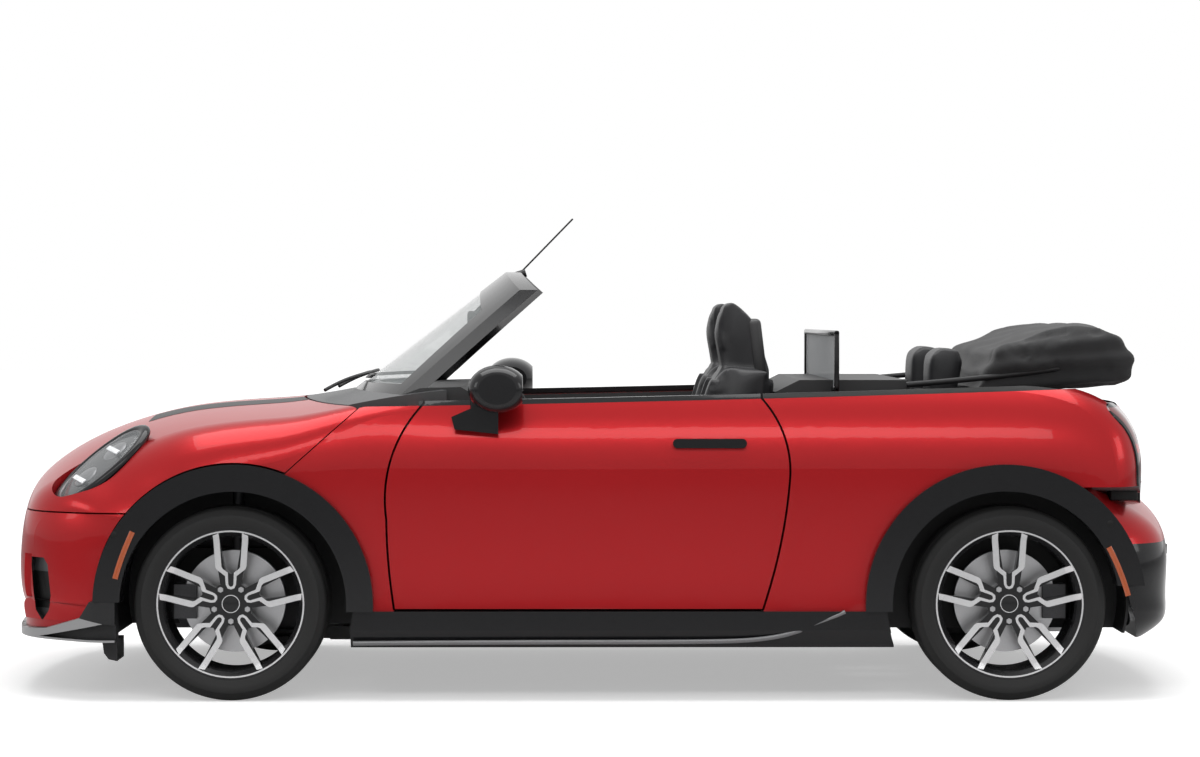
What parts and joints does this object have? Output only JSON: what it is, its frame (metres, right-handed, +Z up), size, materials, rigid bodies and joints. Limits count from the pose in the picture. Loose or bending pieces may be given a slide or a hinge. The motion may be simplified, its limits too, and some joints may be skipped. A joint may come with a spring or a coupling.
{
  "type": "open-top passenger car",
  "caption": "Small open-top car with clamshell hood, fork-spoke wheels, upright windshield and folded fabric roof; doors, hood, tailgate, wheels and steering move.",
  "frame": {"origin": "centre of the footprint on the ground under the middle of the length", "axes": "+X towards the front along the length, +Y to the left side, +Z up"},
  "size_m": [3.879, 1.952, 1.5712],
  "materials": {
    "red_paint": "gloss",
    "gloss_trim": "gloss",
    "black_trim": "matte",
    "black_structure": "matte",
    "dark_metal": "matte",
    "exhaust_metal": "satin",
    "clear_lens": "gloss",
    "red_lens": "gloss",
    "screen_glass": "gloss",
    "cabin_plastic": "matte",
    "cabin_leather": "satin",
    "roof_fabric": "matte",
    "tyre_rubber": "matte",
    "wheel_metal": "gloss"
  },
  "bodies": {
    "chassis": {"floor_pan": "black_structure", "front_frame": "black_structure", "engine_block": "dark_metal", "rear_axle": "dark_metal", "exhaust": "exhaust_metal", "wheel_housings": "black_trim", "side_panels": "red_paint", "quarter_panels": "red_paint", "sills": "black_trim", "arch_trims": "gloss_trim", "front_bumper": "red_paint", "grille": "gloss_trim", "front_lip": "black_trim", "headlights": "clear_lens", "cowl": "black_trim", "tail_lights": "red_lens", "rear_bumper": "red_paint", "rear_valance": "black_trim", "belt_rails": "gloss_trim", "windshield_frame": "black_trim", "windshield_glass": "screen_glass", "wipers": "black_trim", "dashboard": "cabin_plastic", "front_seats": "cabin_leather", "rear_seat": "cabin_leather", "wind_deflector": "cabin_plastic", "folded_top": "roof_fabric"},
    "hood": {"hood": "red_paint"},
    "tailgate": {"tailgate": "red_paint"},
    "door_left": {"door_left": "red_paint", "door_fittings_left": "gloss_trim"},
    "door_right": {"door_right": "red_paint", "door_fittings_right": "gloss_trim"},
    "knuckle_left": {"knuckle_left": "dark_metal"},
    "knuckle_right": {"knuckle_right": "dark_metal"},
    "steering_wheel": {"steering_wheel": "cabin_leather"},
    "wheel_front_left": {"tyre_front_left": "tyre_rubber", "rim_front_left": "wheel_metal"},
    "wheel_front_right": {"tyre_front_right": "tyre_rubber", "rim_front_right": "wheel_metal"},
    "wheel_rear_left": {"tyre_rear_left": "tyre_rubber", "rim_rear_left": "wheel_metal"},
    "wheel_rear_right": {"tyre_rear_right": "tyre_rubber", "rim_rear_right": "wheel_metal"}
  },
  "joints": [
    {"name": "spin_front_left", "type": "hinge", "parent": "knuckle_left", "child": "wheel_front_left", "pos_m": [1.1675, 0.7505, 0.311], "axis": [0, 1, 0], "continuous": true},
    {"name": "spin_front_right", "type": "hinge", "parent": "knuckle_right", "child": "wheel_front_right", "pos_m": [1.1675, -0.7505, 0.311], "axis": [0, 1, 0], "continuous": true},
    {"name": "spin_rear_left", "type": "hinge", "parent": "chassis", "child": "wheel_rear_left", "pos_m": [-1.3275, 0.7505, 0.311], "axis": [0, 1, 0], "continuous": true},
    {"name": "spin_rear_right", "type": "hinge", "parent": "chassis", "child": "wheel_rear_right", "pos_m": [-1.3275, -0.7505, 0.311], "axis": [0, 1, 0], "continuous": true},
    {"name": "steer_left", "type": "hinge", "parent": "chassis", "child": "knuckle_left", "pos_m": [1.1675, 0.676, 0.181], "axis": [0, -0.1682, 0.9858], "range_deg": [-33, 33]},
    {"name": "steer_right", "type": "hinge", "parent": "chassis", "child": "knuckle_right", "pos_m": [1.1675, -0.676, 0.181], "axis": [0, 0.1682, 0.9858], "range_deg": [-33, 33]},
    {"name": "steering_wheel_turn", "type": "hinge", "parent": "chassis", "child": "steering_wheel", "pos_m": [0.2135, 0.36, 0.871], "axis": [-0.9063, 0, 0.4226], "range_deg": [-462, 462]},
    {"name": "door_left_hinge", "type": "hinge", "parent": "chassis", "child": "door_left", "pos_m": [0.575, 0.828, 0.663], "axis": [0, 0, -1], "range_deg": [0, 62]},
    {"name": "door_right_hinge", "type": "hinge", "parent": "chassis", "child": "door_right", "pos_m": [0.575, -0.828, 0.663], "axis": [0, 0, 1], "range_deg": [0, 62]},
    {"name": "hood_hinge", "type": "hinge", "parent": "chassis", "child": "hood", "pos_m": [0.64, 0, 0.92], "axis": [0, -1, 0], "range_deg": [0, 50]},
    {"name": "tailgate_hinge", "type": "hinge", "parent": "chassis", "child": "tailgate", "pos_m": [-1.8135, 0, 0.681], "axis": [0, -1, 0], "range_deg": [0, 90]}
  ],
  "couplings": [
    {"joint": "steer_right", "follows": "steer_left", "ratio": 1},
    {"joint": "steering_wheel_turn", "follows": "steer_left", "ratio": 14}
  ]
}
